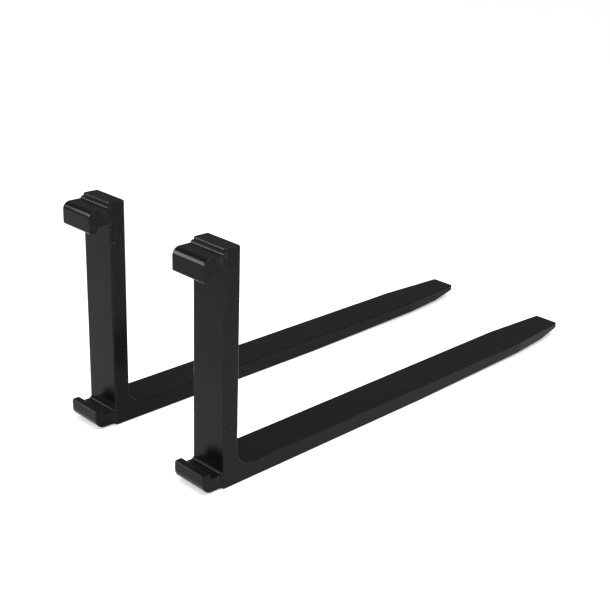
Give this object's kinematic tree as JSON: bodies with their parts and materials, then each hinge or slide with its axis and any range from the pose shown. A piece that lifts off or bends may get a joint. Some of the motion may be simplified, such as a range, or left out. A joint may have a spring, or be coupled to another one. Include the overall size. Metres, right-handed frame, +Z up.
{
  "type": "pallet fork attachment",
  "caption": "Lift-truck pallet forks: L-shaped steel tines with tapered blades, and carriage hooks welded behind each shank at top and bottom. The spread between the forks is adjustable.",
  "frame": {"origin": "centre of the pair's footprint on the floor it stands on, with the forks at their usual spread", "axes": "+X forward to the blade tips, +Y to the left, +Z up. The shanks' rear faces, which lie against the carriage, are at x = -0.6035"},
  "size_m": [1.313, 0.48, 0.54],
  "materials": {
    "tine_paint": "satin black paint over rolled and forged steel",
    "hook_paint": "semi-gloss black paint over machined steel",
    "weld_paint": "semi-gloss black paint over weld beads"
  },
  "bodies": {
    "right_fork": {"right_tine": "tine_paint", "right_top_hook": "hook_paint", "right_bottom_hook": "hook_paint", "right_top_hook_upper_weld": "weld_paint", "right_top_hook_lower_weld": "weld_paint", "right_top_hook_left_weld": "weld_paint", "right_top_hook_right_weld": "weld_paint", "right_bottom_hook_upper_weld": "weld_paint", "right_bottom_hook_lower_weld": "weld_paint", "right_bottom_hook_left_weld": "weld_paint", "right_bottom_hook_right_weld": "weld_paint"},
    "left_fork": {"left_tine": "tine_paint", "left_top_hook": "hook_paint", "left_bottom_hook": "hook_paint", "left_top_hook_upper_weld": "weld_paint", "left_top_hook_lower_weld": "weld_paint", "left_top_hook_left_weld": "weld_paint", "left_top_hook_right_weld": "weld_paint", "left_bottom_hook_upper_weld": "weld_paint", "left_bottom_hook_lower_weld": "weld_paint", "left_bottom_hook_left_weld": "weld_paint", "left_bottom_hook_right_weld": "weld_paint"}
  },
  "joints": [
    {"name": "fork_spread", "type": "slide", "parent": "right_fork", "child": "left_fork", "axis": [0, 1, 0], "range_m": [-0.26, 0.52]}
  ]
}
